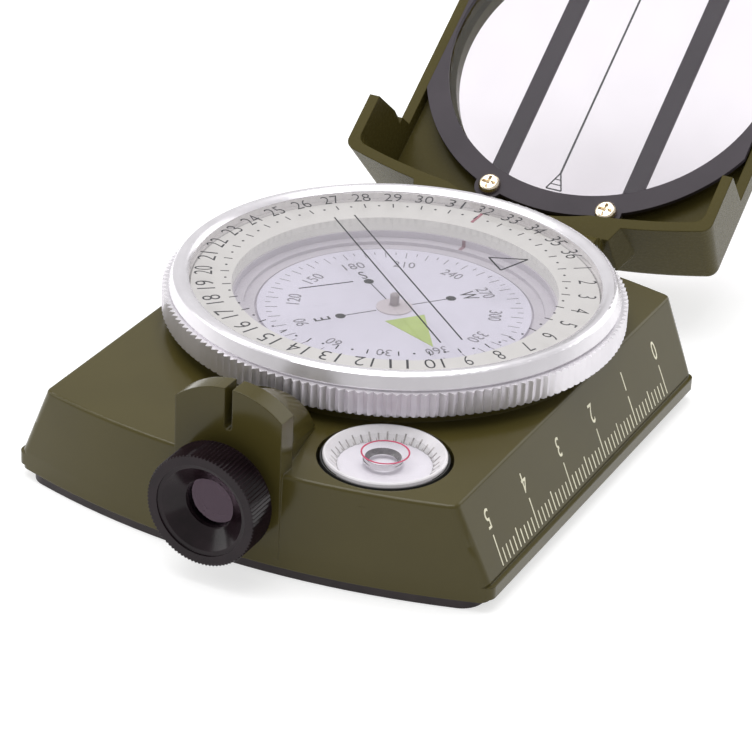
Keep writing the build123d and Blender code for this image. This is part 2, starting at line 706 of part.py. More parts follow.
eye_turned(
    [
        (CELL_R + CELL_FIT, SLEEVE_BACK_Y),
        (EYE_BORE_R, SLEEVE_BACK_Y),
        (EYE_BORE_R, FLANGE_BACK_Y),
        (EYE_BORE_R + FLANGE_W, FLANGE_BACK_Y),
        (EYE_BORE_R + FLANGE_W, FLANGE_BACK_Y - FLANGE_T),
        (EYE_BORE_R, FLANGE_BACK_Y - FLANGE_T),
        (EYE_BORE_R, SLEEVE_FRONT_Y),
        (CELL_R + CELL_FIT, SLEEVE_FRONT_Y),
    ],
    "eyepiece_sleeve",
)
eye_turned(
    [
        (CELL_BORE_R, CELL_BACK_Y),
        (CELL_R, CELL_BACK_Y),
        (CELL_R, CELL_FRONT_Y),
        (EYE_LENS_R, CELL_FRONT_Y),
        (EYE_LENS_R, CELL_FRONT_Y + RETAINER_T + LENS_T),
        (CELL_BORE_R, CELL_FRONT_Y + RETAINER_T + LENS_T),
    ],
    "lens_cell",
)
eye_turned(
    [
        (EYE_VIEW_R, CELL_FRONT_Y),
        (EYE_LENS_R, CELL_FRONT_Y),
        (EYE_LENS_R, CELL_FRONT_Y + RETAINER_T),
        (EYE_VIEW_R, CELL_FRONT_Y + RETAINER_T),
    ],
    "lens_retainer",
)
# flat in front, bulging behind
LENS_FRONT_Y = CELL_FRONT_Y + RETAINER_T
LENS_BULGE = 1.0
LENS_EDGE_Y = LENS_FRONT_Y + LENS_T - LENS_BULGE
LENS_BALL_R = (EYE_LENS_R**2 + LENS_BULGE**2) / (2 * LENS_BULGE)
LENS_HALF_ANGLE = asin(EYE_LENS_R / LENS_BALL_R) / 2
with BuildPart() as eye_lens:
    with BuildSketch(Plane.YZ):
        with BuildLine():
            Polyline(
                (LENS_EDGE_Y + LENS_BULGE, EYE_Z),
                (LENS_FRONT_Y, EYE_Z),
                (LENS_FRONT_Y, EYE_Z + EYE_LENS_R),
                (LENS_EDGE_Y, EYE_Z + EYE_LENS_R),
            )
            ThreePointArc(
                (LENS_EDGE_Y, EYE_Z + EYE_LENS_R),
                (
                    LENS_EDGE_Y + LENS_BULGE - LENS_BALL_R * (1 - cos(LENS_HALF_ANGLE)),
                    EYE_Z + LENS_BALL_R * sin(LENS_HALF_ANGLE),
                ),
                (LENS_EDGE_Y + LENS_BULGE, EYE_Z),
            )
        make_face()
    revolve(axis=Axis((0, 0, EYE_Z), (0, 1, 0)))
save(eye_lens.part, "eye_lens")

with BuildPart() as eyepiece_ring:
    with BuildSketch(front_plane(EYE_FACE_Y)):
        with BuildLine():
            Polyline(*knurl_points(EYE_R, EYE_R - EYE_TOOTH_H, EYE_TEETH, centre_y=EYE_Z), close=True)
        make_face()
    extrude(amount=-(EYE_RING_BACK_Y - EYE_FACE_Y))
    with BuildSketch(Plane.YZ):
        with BuildLine():
            Polyline(
                (EYE_FACE_Y, EYE_Z),
                (EYE_FACE_Y, EYE_Z + EYE_FRONT_R),
                (EYE_FACE_Y + 0.2, EYE_Z + EYE_R + 0.1),
                (EYE_RING_BACK_Y - 0.3, EYE_Z + EYE_R + 0.1),
                (EYE_RING_BACK_Y, EYE_Z + EYE_R - 0.2),
                (EYE_RING_BACK_Y, EYE_Z),
                close=True,
            )
        make_face()
    revolve(axis=Axis((0, 0, EYE_Z), (0, 1, 0)), mode=Mode.INTERSECT)
    with BuildSketch(Plane.YZ):
        with BuildLine():
            Polyline(
                (EYE_FACE_Y, EYE_Z),
                (EYE_FACE_Y, EYE_Z + EYE_RECESS_R),
                (EYE_FACE_Y + 0.25, EYE_Z + EYE_RECESS_R),
                (EYE_FACE_Y + 0.35, EYE_Z + EYE_RECESS_R - 0.5),
                (EYE_FACE_Y + 2.1, EYE_Z + EYE_VIEW_R + 0.15),
                (EYE_FACE_Y + 2.2, EYE_Z + EYE_VIEW_R),
                (CELL_FRONT_Y - 0.1, EYE_Z + EYE_VIEW_R),
                (CELL_FRONT_Y - 0.1, EYE_Z + EYE_BORE_R + RUN_GAP),
                (EYE_RING_BACK_Y, EYE_Z + EYE_BORE_R + RUN_GAP),
                (EYE_RING_BACK_Y, EYE_Z),
                close=True,
            )
        make_face()
    revolve(axis=Axis((0, 0, EYE_Z), (0, 1, 0)), mode=Mode.SUBTRACT)
save(eyepiece_ring.part, "eyepiece_ring")

PRISM_FRONT_Y = -39.9
PRISM_LEG = 6.2
PRISM_TOP_Z = EYE_Z + 3.1
with BuildPart() as sight_prism:
    with BuildSketch(Plane.YZ):
        with BuildLine():
            Polyline(
                (PRISM_FRONT_Y, PRISM_TOP_Z),
                (PRISM_FRONT_Y, PRISM_TOP_Z - PRISM_LEG),
                (PRISM_FRONT_Y + PRISM_LEG, PRISM_TOP_Z),
                close=True,
            )
        make_face()
    extrude(amount=CHAMBER_HALF_W - 0.1, both=True)
save(sight_prism.part, "sight_prism")

CLIP_T = 0.5
with BuildPart() as prism_clip:
    with BuildSketch(Plane.YZ):
        with BuildLine():
            Polyline(
                (PRISM_FRONT_Y, PRISM_TOP_Z - PRISM_LEG),
                (PRISM_FRONT_Y + PRISM_LEG, PRISM_TOP_Z),
                (PRISM_FRONT_Y + PRISM_LEG + CLIP_T, PRISM_TOP_Z - CLIP_T),
                (PRISM_FRONT_Y + PRISM_LEG + CLIP_T, PLATE_T + 0.1),
                (PRISM_FRONT_Y + PRISM_LEG, PLATE_T + 0.1),
                (PRISM_FRONT_Y + PRISM_LEG, PRISM_TOP_Z - 2 * CLIP_T),
                (PRISM_FRONT_Y + 2 * CLIP_T, PRISM_TOP_Z - PRISM_LEG),
                close=True,
            )
        make_face()
    extrude(amount=CHAMBER_HALF_W - 0.1, both=True)
save(prism_clip.part, "prism_clip")

# ---------------------------------------------------------------- hinge pin
with BuildPart() as hinge_pin:
    with BuildSketch(Plane.YZ):
        with Locations((HINGE_Y, HINGE_Z)):
            Circle(PIN_R)
    extrude(amount=LID_LUG_OUT, both=True)
save(hinge_pin.part, "hinge_pin")

# ---------------------------------------------------------------- lid
SLOT_FLOOR_Z = WINDOW_Z + 0.1
SLOT_HALF_RIM = 17.0  # half-length of the side slots at the rim, about the bezel's axis
SLOT_HALF_FLOOR = 14.6
SIGHT_NOTCH_HALF_RIM = 9.4
SIGHT_NOTCH_HALF_FLOOR = 8.2
BOSS_R = 26.6
LOBE_R = 2.2
LID_EDGE_R = 1.4
BULGE_DEPTH = 7.6
BULGE_FADE = 3.6
SCREW_PLACES = [
    (x, WINDOW_Y + side * SCREW_PCD_Y) for side in (-1, 1) for x in (-SCREW_X, SCREW_X)
]


def lid_outline(height, inset):
    """Lid outline at a height in the lid's own axes, moved inwards by the inset."""
    lean = LID_DRAFT * (LID_RIM_Z - height) + inset
    return outline_sketch(
        lid_plane(height), LID_RIM_HALF_W - lean, LID_NEAR_Y + lean, LID_FAR_Y - lean, CORNER_R + 0.4
    )


def slot_profile(plane, half_rim, half_floor):
    """A slot from above the rim down to the slot floor, narrower at the bottom."""
    above = 4.0
    widen = above * (half_rim - half_floor) / (LID_RIM_Z - SLOT_FLOOR_Z)
    with BuildSketch(plane) as sketch:
        with BuildLine():
            Polyline(
                (-half_floor, SLOT_FLOOR_Z),
                (half_floor, SLOT_FLOOR_Z),
                (half_rim + widen, LID_RIM_Z + above),
                (-half_rim - widen, LID_RIM_Z + above),
                close=True,
            )
        make_face()
    return sketch.sketch


def bulge_profile(height, front_y, half_width):
    """The near wall's bulge at a height in the lid's own axes."""
    with BuildSketch(lid_plane(height)) as sketch:
        with BuildLine():
            Polyline(
                (-half_width - 2.0, LID_NEAR_Y + 4.0),
                (-half_width, front_y),
                (half_width, front_y),
                (half_width + 2.0, LID_NEAR_Y + 4.0),
                close=True,
            )
        make_face()
    return sketch.sketch


with BuildPart() as lid_shell:
    loft([lid_outline(LID_FACE_Z, 0), lid_outline(LID_RIM_Z, 0)], ruled=True)
    outer_face = lid_shell.faces().sort_by(Axis(origin=(0, 0, 0), direction=LID_NORMAL))[0]
    fillet(outer_face.edges(), LID_EDGE_R)
    bulge_bottom = LID_RIM_Z - BULGE_DEPTH
    extrude(bulge_profile(LID_RIM_Z, BULGE_Y, BULGE_HALF_W), amount=-BULGE_DEPTH)
    faded_y = LID_NEAR_Y + LID_DRAFT * (BULGE_DEPTH + BULGE_FADE) + 0.8
    loft(
        [
            bulge_profile(bulge_bottom - BULGE_FADE, faded_y, BULGE_HALF_W - 1.0),
            bulge_profile(bulge_bottom, BULGE_Y, BULGE_HALF_W),
        ],
        ruled=True,
    )
    loft([lid_outline(LID_FLOOR_Z, LID_WALL), lid_outline(LID_RIM_Z, LID_WALL)], ruled=True, mode=Mode.SUBTRACT)
    # seat for the window and its clamping ring, kept inside the side walls
    with BuildSketch(lid_plane(LID_FLOOR_Z - 0.5)):
        with Locations((0, WINDOW_Y)):
            Circle(BOSS_R)
            Rectangle(2 * RING_FLAT, 2 * BOSS_R, mode=Mode.INTERSECT)
        with Locations(*SCREW_PLACES):
            Circle(LOBE_R)
    extrude(amount=WINDOW_Z - LID_FLOOR_Z + 0.5)
    with BuildSketch(lid_plane(WINDOW_Z)):
        with Locations((0, WINDOW_Y)):
            Circle(WINDOW_R)
    extrude(amount=-WINDOW_T, mode=Mode.SUBTRACT)
    with BuildSketch(lid_plane(WINDOW_Z)):
        with Locations((0, WINDOW_Y)):
            Circle(WINDOW_SEE_R - 0.4)
    extrude(amount=-8.0, mode=Mode.SUBTRACT)
    with BuildSketch(lid_plane(WINDOW_Z)):
        with Locations(*SCREW_PLACES):
            Circle(0.7)
    extrude(amount=-3.0, mode=Mode.SUBTRACT)
    # round relief for the bezel, slots for it in both side walls, and a notch for the sight plate
    with BuildSketch(lid_plane(LID_RIM_Z)):
        with Locations((0, HINGE_Y)):
            Circle(BEZEL_RELIEF_R)
    extrude(amount=-BULGE_DEPTH, mode=Mode.SUBTRACT)
    side_section = Plane(
        origin=lid_plane(0).from_local_coords((0, HINGE_Y, 0)),
        x_dir=lid_section().x_dir,
        z_dir=(1, 0, 0),
    )
    extrude(
        slot_profile(side_section, SLOT_HALF_RIM, SLOT_HALF_FLOOR), amount=40, both=True, mode=Mode.SUBTRACT
    )
    far_section = Plane(
        origin=lid_plane(0).from_local_coords((0, LID_FAR_Y - 8.0, 0)),
        x_dir=(1, 0, 0),
        z_dir=-lid_section().x_dir,
    )
    extrude(
        slot_profile(far_section, SIGHT_NOTCH_HALF_RIM, SIGHT_NOTCH_HALF_FLOOR),
        amount=-12,
        mode=Mode.SUBTRACT,
    )
    # hinge lugs with a barrel each
    for side in (-1, 1):
        with BuildSketch(lid_section(side * LID_LUG_IN)):
            Circle(BARREL_R)
            with BuildLine():
                Polyline(
                    (0, LID_RIM_Z),
                    (BULGE_Y + 0.8, LID_RIM_Z),
                    (BULGE_Y + 0.8, -BARREL_R - 1.0),
                    (0, -BARREL_R),
                    close=True,
                )
            make_face()
        extrude(amount=side * (LID_LUG_OUT - LID_LUG_IN))
    with BuildSketch(Plane.YZ):
        with Locations((HINGE_Y, HINGE_Z)):
            Circle(PIN_R + 0.05)
    extrude(amount=LID_LUG_OUT + 1.0, both=True, mode=Mode.SUBTRACT)
save(lid_shell.part, "lid_shell")

with BuildPart() as lid_window:
    with BuildSketch(lid_plane(WINDOW_Z - WINDOW_T)):
        with Locations((0, WINDOW_Y)):
            Circle(WINDOW_R)
    extrude(amount=WINDOW_T)
save(lid_window.part, "lid_window")

with BuildPart() as window_ring:
    with BuildSketch(lid_plane(WINDOW_Z)):
        with Locations((0, WINDOW_Y)):
            Circle(RING_R)
            Rectangle(2 * RING_FLAT, 2 * RING_R, mode=Mode.INTERSECT)
        with Locations(*SCREW_PLACES):
            Circle(LOBE_R)
        with Locations((0, WINDOW_Y)):
            Circle(WINDOW_SEE_R, mode=Mode.SUBTRACT)
        with Locations(*SCREW_PLACES):
            Circle(0.8, mode=Mode.SUBTRACT)
    extrude(amount=RING_T)
save(window_ring.part, "window_ring")

RING_SCREW_HEAD_R = 1.55
RING_SCREW_HEAD_H = 0.85
RING_SCREW_CROWN_R = 0.6
RING_SCREW_SHANK_R = 0.7
RING_SCREW_L = 3.2
screws = []
for screw_x, screw_y in SCREW_PLACES:
    with BuildPart() as ring_screw:
        with BuildSketch(lid_plane(WINDOW_Z + RING_T)):
            with Locations((screw_x, screw_y)):
                Circle(RING_SCREW_HEAD_R)
        extrude(amount=RING_SCREW_HEAD_H)
        crown = ring_screw.faces().sort_by(Axis(origin=(0, 0, 0), direction=LID_NORMAL))[-1]
        fillet(crown.edges(), RING_SCREW_CROWN_R)
        with BuildSketch(lid_plane(WINDOW_Z + RING_T + RING_SCREW_HEAD_H)):
            with Locations((screw_x, screw_y)):
                Rectangle(CROSS_L, CROSS_W)
                Rectangle(CROSS_W, CROSS_L)
        extrude(amount=-CROSS_DEPTH - 0.1, mode=Mode.SUBTRACT)
        with BuildSketch(lid_plane(WINDOW_Z + RING_T)):
            with Locations((screw_x, screw_y)):
                Circle(RING_SCREW_SHANK_R)
        extrude(amount=-RING_SCREW_L)
    screws.append(ring_screw.part)
save(Compound(screws), "window_ring_screws")

SIGHT_LINE_W = 0.3
SIGHT_LINE_L = 41.0
with BuildPart() as sight_line:
    with BuildSketch(lid_plane(WINDOW_Z)):
        with Locations((0, WINDOW_Y)):
            Rectangle(SIGHT_LINE_W, SIGHT_LINE_L)
    extrude(amount=PRINT_T)
save(sight_line.part, "sight_line")

BAR_X = 9.97
BAR_HALF_W = 1.43
BAR_T = 0.3
BAR_REACH_R = WINDOW_SEE_R - 0.45
GLUE_T = 0.02
with BuildPart() as window_bars:
    with BuildSketch(lid_plane(WINDOW_Z - WINDOW_T - GLUE_T)):
        with Locations((0, WINDOW_Y)):
            Circle(BAR_REACH_R)
        with Locations((0, WINDOW_Y)):
            Rectangle(2 * (BAR_X - BAR_HALF_W), 60, mode=Mode.SUBTRACT)
        with Locations((BAR_X + BAR_HALF_W + 10, WINDOW_Y), (-BAR_X - BAR_HALF_W - 10, WINDOW_Y)):
            Rectangle(20, 60, mode=Mode.SUBTRACT)
    extrude(amount=-BAR_T)
save(window_bars.part, "window_bars")
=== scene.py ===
"""Looks of the sighting compass: materials, printed scales, the bubble level's glasswork, stage and camera.

Metres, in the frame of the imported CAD: the origin is under the bezel's axis on the table, +Y is the
sighting direction, and +Z is up. Sizes are written in millimetres and multiplied by MM.
"""

import math

import bmesh
import bpy
from mathutils import Matrix, Vector


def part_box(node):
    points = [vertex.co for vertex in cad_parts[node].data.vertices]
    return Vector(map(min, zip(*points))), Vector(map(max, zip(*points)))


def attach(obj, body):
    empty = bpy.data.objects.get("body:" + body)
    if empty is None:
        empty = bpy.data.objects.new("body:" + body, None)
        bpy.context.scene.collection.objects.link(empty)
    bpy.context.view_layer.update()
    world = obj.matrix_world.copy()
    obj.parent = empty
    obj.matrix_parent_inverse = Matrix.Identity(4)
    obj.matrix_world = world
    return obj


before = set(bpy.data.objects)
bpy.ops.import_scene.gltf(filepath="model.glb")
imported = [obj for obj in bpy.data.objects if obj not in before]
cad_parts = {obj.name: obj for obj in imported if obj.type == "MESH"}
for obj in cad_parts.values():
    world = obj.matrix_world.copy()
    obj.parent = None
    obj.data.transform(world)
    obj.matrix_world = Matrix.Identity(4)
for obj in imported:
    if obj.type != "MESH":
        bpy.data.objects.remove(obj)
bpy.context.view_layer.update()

MM = 0.001
INK = 0.02 * MM  # how far print stands proud of its surface
LID_RISE = math.radians(35.2)  # the open lid's rise above the horizontal
NORTH = math.radians(-39.2)  # where the card's north points, anticlockwise from +X
ZERO = math.radians(47.5)  # where the zero of the bezel's scale points


# ---------------------------------------------------------------- shader helpers
MOTTLE = (0.35, 0.65)  # the levels of a noise that mottling spreads over its two colours


def new_material(name):
    """An empty node material, with its output and a Principled shader already joined."""
    material = bpy.data.materials.new(name)
    material.use_nodes = True
    tree = material.node_tree
    tree.nodes.clear()
    output = tree.nodes.new("ShaderNodeOutputMaterial")
    shader = tree.nodes.new("ShaderNodeBsdfPrincipled")
    tree.links.new(shader.outputs["BSDF"], output.inputs["Surface"])
    return material, tree, shader, output


def noise(tree, scale, detail=3.0, stretch=(1, 1, 1)):
    """Noise in the object's own coordinates. Scale is in features a metre."""
    place = tree.nodes.new("ShaderNodeTexCoord")
    mapping = tree.nodes.new("ShaderNodeMapping")
    mapping.inputs["Scale"].default_value = stretch
    texture = tree.nodes.new("ShaderNodeTexNoise")
    texture.inputs["Scale"].default_value = scale
    texture.inputs["Detail"].default_value = detail
    tree.links.new(place.outputs["Object"], mapping.inputs["Vector"])
    tree.links.new(mapping.outputs["Vector"], texture.inputs["Vector"])
    return texture.outputs["Fac"]


def ramp(tree, factor, low, high, dark, light):
    """Spread a factor between two positions over two colours."""
    node = tree.nodes.new("ShaderNodeValToRGB")
    node.color_ramp.elements[0].position = low
    node.color_ramp.elements[1].position = high
    node.color_ramp.elements[0].color = (*dark, 1)
    node.color_ramp.elements[1].color = (*light, 1)
    tree.links.new(factor, node.inputs["Fac"])
    return node.outputs["Color"]


def spread(tree, factor, low, high):
    """Map a noise factor onto a range of plain values."""
    node = tree.nodes.new("ShaderNodeMapRange")
    node.inputs["From Min"].default_value = 0.3
    node.inputs["From Max"].default_value = 0.7
    node.inputs["To Min"].default_value = low
    node.inputs["To Max"].default_value = high
    tree.links.new(factor, node.inputs["Value"])
    return node.outputs["Result"]


def bumped(tree, shader, factor, depth, rounding=0.0):
    """Join a bump to the shader, over edges that are softened by the rounding radius."""
    bump = tree.nodes.new("ShaderNodeBump")
    bump.inputs["Strength"].default_value = 1.0
    bump.inputs["Distance"].default_value = depth
    tree.links.new(factor, bump.inputs["Height"])
    if rounding:
        bevel = tree.nodes.new("ShaderNodeBevel")
        bevel.samples = 6
        bevel.inputs["Radius"].default_value = rounding
        tree.links.new(bevel.outputs["Normal"], bump.inputs["Normal"])
    tree.links.new(bump.outputs["Normal"], shader.inputs["Normal"])


def surface(name, colour, vary=0.08, grain=400, rough=(0.4, 0.5), bump=0.01, bump_grain=4000,
            metal=0.0, coat=0.0, rounding=0.0, stretch=(1, 1, 1), specular=0.5, painted_glow=0.0):
    """A solid material: mottled colour, uneven roughness and a fine bump, depths in millimetres.

    The painted glow is painted light: an even emission in the part's own hue that brightens it where the
    lamps leave it in shade.
    """
    material, tree, shader, _ = new_material(name)
    broad = noise(tree, grain, stretch=stretch)
    dark = tuple(c * (1 - vary) for c in colour)
    light = tuple(min(1.0, c * (1 + vary)) for c in colour)
    tree.links.new(ramp(tree, broad, *MOTTLE, dark, light), shader.inputs["Base Color"])
    fine = noise(tree, bump_grain, detail=4.0, stretch=stretch)
    tree.links.new(spread(tree, fine, *rough), shader.inputs["Roughness"])
    bumped(tree, shader, fine, bump * MM, rounding * MM)
    shader.inputs["Metallic"].default_value = metal
    shader.inputs["Coat Weight"].default_value = coat
    shader.inputs["Coat Roughness"].default_value = 0.08
    shader.inputs["Specular IOR Level"].default_value = specular
    # painted light: the emission lifts the part's tone evenly, in shade as well as in light
    brightest = max(colour)
    shader.inputs["Emission Color"].default_value = (*(c / brightest for c in colour), 1)
    shader.inputs["Emission Strength"].default_value = painted_glow
    return material


WAVE_FACTOR = 20  # the wave texture's own factor between distance and phase
TURNED_EDGE = 0.03 * MM  # how far turned edges are softened


def turned_metal(name, colour, rough, pitch, depth, metal=1.0):
    """Metal turned on a lathe about the Z axis, with fine rings in its finish, in millimetres.

    Less metal stands for a satin anodised skin, which scatters some of the light.
    """
    material, tree, shader, _ = new_material(name)
    place = tree.nodes.new("ShaderNodeTexCoord")
    rings = tree.nodes.new("ShaderNodeTexWave")
    rings.wave_type = "RINGS"
    rings.rings_direction = "Z"
    rings.inputs["Scale"].default_value = 2 * math.pi / (WAVE_FACTOR * pitch * MM)
    rings.inputs["Distortion"].default_value = 0.6
    rings.inputs["Detail"].default_value = 2.0
    tree.links.new(place.outputs["Object"], rings.inputs["Vector"])
    broad = noise(tree, 260)
    dark = tuple(c * 0.94 for c in colour)
    tree.links.new(ramp(tree, broad, *MOTTLE, dark, colour), shader.inputs["Base Color"])
    tree.links.new(spread(tree, noise(tree, 1800), *rough), shader.inputs["Roughness"])
    bumped(tree, shader, rings.outputs["Fac"], depth * MM, TURNED_EDGE)
    shader.inputs["Metallic"].default_value = metal
    return material


def clear(name, tint, ior=1.45, coating=(1, 1, 1)):
    """A thin clear material: what is behind shows unbent, and the front mirrors more at a glancing angle.

    The coating is the colour of what the front mirrors.
    """
    material, tree, shader, output = new_material(name)
    tree.nodes.remove(shader)
    through = tree.nodes.new("ShaderNodeBsdfTransparent")
    smudge = noise(tree, 140, detail=2.0)
    paler = tuple(c * 0.985 for c in tint)
    tree.links.new(ramp(tree, smudge, *MOTTLE, paler, tint), through.inputs["Color"])
    mirror = tree.nodes.new("ShaderNodeBsdfGlossy")
    mirror.inputs["Roughness"].default_value = 0.02
    mirror.inputs["Color"].default_value = (*coating, 1)
    fresnel = tree.nodes.new("ShaderNodeFresnel")
    fresnel.inputs["IOR"].default_value = ior
    facing = tree.nodes.new("ShaderNodeNewGeometry")
    outside = tree.nodes.new("ShaderNodeMath")
    outside.operation = "SUBTRACT"
    outside.inputs[0].default_value = 1.0
    tree.links.new(facing.outputs["Backfacing"], outside.inputs[1])
    share = tree.nodes.new("ShaderNodeMath")
    share.operation = "MULTIPLY"
    tree.links.new(fresnel.outputs["Fac"], share.inputs[0])
    tree.links.new(outside.outputs["Value"], share.inputs[1])
    mixed = tree.nodes.new("ShaderNodeMixShader")
    tree.links.new(share.outputs["Value"], mixed.inputs["Fac"])
    tree.links.new(through.outputs["BSDF"], mixed.inputs[1])
    tree.links.new(mirror.outputs["BSDF"], mixed.inputs[2])
    tree.links.new(mixed.outputs["Shader"], output.inputs["Surface"])
    return material


# ---------------------------------------------------------------- mesh helpers
def mesh_piece(name, mesh, body, material):
    """A finished mesh as a named piece that rides on a CAD body."""
    piece = bpy.data.objects.new(name, mesh)
    bpy.context.scene.collection.objects.link(piece)
    piece.data.materials.append(material)
    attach(piece, body)
    return piece


def plane_matrix(origin, right, up):
    """A placement whose X and Y run along right and up, at the origin given."""
    right, up = Vector(right).normalized(), Vector(up).normalized()
    out = right.cross(up)
    matrix = Matrix((right, up, out)).transposed().to_4x4()
    matrix.translation = Vector(origin)
    return matrix


def radial_matrix(radius, angle, z):
    """A placement on a dial: its Y points outwards from the axis."""
    outwards = (math.cos(angle), math.sin(angle), 0)
    right = (math.sin(angle), -math.cos(angle), 0)
    return plane_matrix((radius * outwards[0], radius * outwards[1], z), right, outwards)


LETTER_GAP = 0.15  # the gap after a word's last letter, as a share of a letter's width
LONE_LETTER_WIDTH = 0.68  # a lone letter's width, as a share of its width in the font
LONE_ONE_WIDTH = 0.6  # the same for the number 1


class Print:
    """Flat print gathered into thin closed pieces of one mesh."""

    def __init__(self):
        self.bm = bmesh.new()

    def text(self, words, height, width, matrix, thinner=0.0):
        """Words scaled to a height, with a width for each letter, centred on the placement.

        A lone letter gets a share of its width in the font instead.
        """
        curve = bpy.data.curves.new("text", "FONT")
        curve.body = words
        curve.resolution_u = 3
        curve.extrude = 0.5
        curve.offset = -thinner
        holder = bpy.data.objects.new("text", curve)
        bpy.context.scene.collection.objects.link(holder)
        solved = holder.evaluated_get(bpy.context.evaluated_depsgraph_get())
        mesh = bpy.data.meshes.new_from_object(solved)
        bpy.data.objects.remove(holder)
        bpy.data.curves.remove(curve)
        low = Vector([min(v.co[i] for v in mesh.vertices) for i in range(3)])
        high = Vector([max(v.co[i] for v in mesh.vertices) for i in range(3)])
        size = high - low
        upright = height / size.y
        if len(words) > 1:
            across = width * (len(words) - LETTER_GAP) / size.x
        elif words == "1":
            across = upright * LONE_ONE_WIDTH
        else:
            across = upright * LONE_LETTER_WIDTH
        fit = Matrix.Diagonal((across, upright, INK / size.z, 1))
        centre = Matrix.Translation(-(low + high) / 2)
        lift = Matrix.Translation((0, 0, INK / 2))
        mesh.transform(matrix @ lift @ fit @ centre)
        self.bm.from_mesh(mesh)
        bpy.data.meshes.remove(mesh)

    def outline(self, points, matrix):
        """A filled polygon on the placement's plane."""
        low = [self.bm.verts.new(matrix @ Vector((x, y, 0))) for x, y in points]
        high = [self.bm.verts.new(matrix @ Vector((x, y, INK))) for x, y in points]
        self.bm.faces.new(list(reversed(low)))
        self.bm.faces.new(high)
        for i in range(len(points)):
            j = (i + 1) % len(points)
            self.bm.faces.new((low[i], low[j], high[j], high[i]))

    def bar(self, start, end, width, matrix):
        """A straight stroke between two points of the placement's plane."""
        start, end = Vector(start), Vector(end)
        side = (end - start).orthogonal().normalized() * width / 2
        self.outline([start + side, start - side, end - side, end + side], matrix)

    def dot(self, centre, radius, matrix, sides=20):
        """A round spot."""
        x, y = centre
        angles = [2 * math.pi * i / sides for i in range(sides)]
        rim = [(x + radius * math.cos(angle), y + radius * math.sin(angle)) for angle in angles]
        self.outline(rim, matrix)

    def finish(self, name, body, material):
        """The gathered print as one piece."""
        bmesh.ops.recalc_face_normals(self.bm, faces=self.bm.faces)
        mesh = bpy.data.meshes.new(name)
        self.bm.to_mesh(mesh)
        self.bm.free()
        return mesh_piece(name, mesh, body, material)


def lathe(name, profile, centre, segments, ripple=None):
    """A closed ring turned about a vertical axis from (radius, z) corners, with rippled radii if asked."""
    bm = bmesh.new()
    loops = []
    for i in range(segments):
        angle = 2 * math.pi * i / segments
        loop = []
        for k, (radius, z) in enumerate(profile):
            swell = ripple(k, i) if ripple else 0.0
            r = radius + swell
            x = centre.x + r * math.cos(angle)
            y = centre.y + r * math.sin(angle)
            loop.append(bm.verts.new((x, y, z)))
        loops.append(loop)
    count = len(profile)
    for i in range(segments):
        here, there = loops[i], loops[(i + 1) % segments]
        for k in range(count):
            m = (k + 1) % count
            bm.faces.new((here[k], there[k], there[m], here[m]))
    bmesh.ops.recalc_face_normals(bm, faces=bm.faces)
    mesh = bpy.data.meshes.new(name)
    bm.to_mesh(mesh)
    bm.free()
    return mesh


def lid_matrix(height):
    """A placement at a height over the hinge: its Y runs up the open lid and its Z out of the hollow side."""
    away = Vector((0, math.cos(LID_RISE), math.sin(LID_RISE)))
    out = Vector((0, -math.sin(LID_RISE), math.cos(LID_RISE)))
    return plane_matrix(HINGE + out * height, (1, 0, 0), away)


# ---------------------------------------------------------------- places from the CAD
HINGE = (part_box("hinge_pin")[0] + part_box("hinge_pin")[1]) / 2
CRYSTAL_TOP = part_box("crystal")[1].z
CARD_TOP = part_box("compass_card")[1].z
LEVEL_LOW, LEVEL_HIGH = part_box("level_vial")
LEVEL = (LEVEL_LOW + LEVEL_HIGH) / 2
LEVEL_R = (LEVEL_HIGH.x - LEVEL_LOW.x) / 2
DISH_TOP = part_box("level_dish")[1].z
CUP_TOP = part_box("dial_cup")[1].z

# ---------------------------------------------------------------- camera
CAMERA_PLACE = Vector((152.04, -320.03, 188.23)) * MM
CAMERA_AZIMUTH = math.radians(25.862)
CAMERA_ELEVATION = math.radians(27.302)
CAMERA_ROLL = math.radians(2.557)

camera_data = bpy.data.cameras.new("camera")
camera_data.sensor_width = 36.0
camera_data.lens = 149.7
camera_data.shift_x = 0.0091
camera_data.shift_y = -0.0008
camera_data.clip_start = 0.01
camera_data.clip_end = 50.0
camera = bpy.data.objects.new("camera", camera_data)
bpy.context.scene.collection.objects.link(camera)
level_right = Vector((math.cos(CAMERA_AZIMUTH), math.sin(CAMERA_AZIMUTH), 0))
backwards = Vector((
    math.sin(CAMERA_AZIMUTH) * math.cos(CAMERA_ELEVATION),
    -math.cos(CAMERA_AZIMUTH) * math.cos(CAMERA_ELEVATION),
    math.sin(CAMERA_ELEVATION),
))
level_up = backwards.cross(level_right)
rolled_right = math.cos(CAMERA_ROLL) * level_right + math.sin(CAMERA_ROLL) * level_up
rolled_up = backwards.cross(rolled_right)
camera.matrix_world = plane_matrix(CAMERA_PLACE, rolled_right, rolled_up)
bpy.context.scene.camera = camera

# ---------------------------------------------------------------- stage
bpy.context.scene.view_settings.view_transform = "Standard"


def area_light(name, place, target, size, power):
    """A square softbox aimed at a point."""
    data = bpy.data.lights.new(name, "AREA")
    data.size = size
    data.energy = power
    light = bpy.data.objects.new(name, data)
    light.location = Vector(place)
    light.rotation_euler = (Vector(target) - Vector(place)).to_track_quat("-Z", "Y").to_euler()
    bpy.context.scene.collection.objects.link(light)


area_light("top_softbox", (-0.15, 0.1, 0.75), (0, 0, 0), 0.7, 5.5)
area_light("left_softbox", (-0.7, -0.2, 0.35), (0, 0, 0.01), 0.5, 1.6)
area_light("back_softbox", (0.25, 0.85, 0.4), (0, 0.03, 0.01), 0.6, 1.8)

world = bpy.data.worlds.new("studio")
world.use_nodes = True
world.node_tree.nodes["Background"].inputs["Color"].default_value = (1.0, 1.0, 1.0, 1)
world.node_tree.nodes["Background"].inputs["Strength"].default_value = 0.62
bpy.context.scene.world = world

